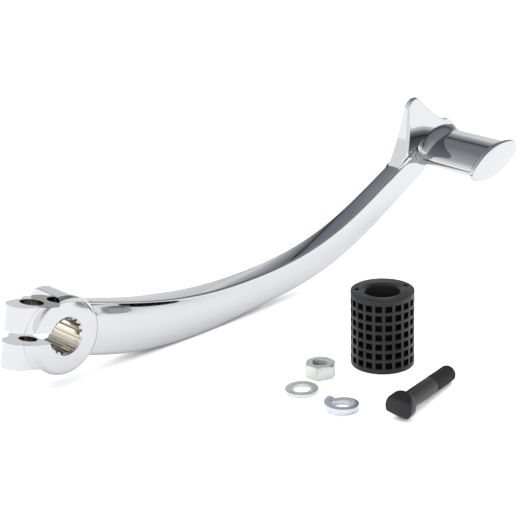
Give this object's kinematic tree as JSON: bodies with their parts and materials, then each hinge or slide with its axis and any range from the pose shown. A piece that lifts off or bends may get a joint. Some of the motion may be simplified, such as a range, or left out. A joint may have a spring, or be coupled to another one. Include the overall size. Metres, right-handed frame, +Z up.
{
  "type": "kick start lever",
  "caption": "Cast kick start lever with a splined pinch clamp, curved arm and finned pedal, set out with its ribbed rubber, pinch bolt, nut and washers.",
  "frame": {"origin": "middle of the splined bore, half way along its length", "axes": "+Y along the bore, away from the side that the pedal stands out on; +Z up as the lever lies on the belly of its arm; +X from the bore towards the pedal"},
  "size_m": [0.3054, 0.1587, 0.0877],
  "materials": {
    "chrome": "polished",
    "rubber": "matt",
    "black_oxide": "satin",
    "zinc": "satin",
    "spring_steel": "polished"
  },
  "bodies": {
    "root": {"lever": "chrome", "pedal_rubber": "rubber", "pinch_bolt": "black_oxide", "hex_nut": "zinc", "flat_washer": "zinc", "spring_washer": "spring_steel"}
  },
  "joints": []
}
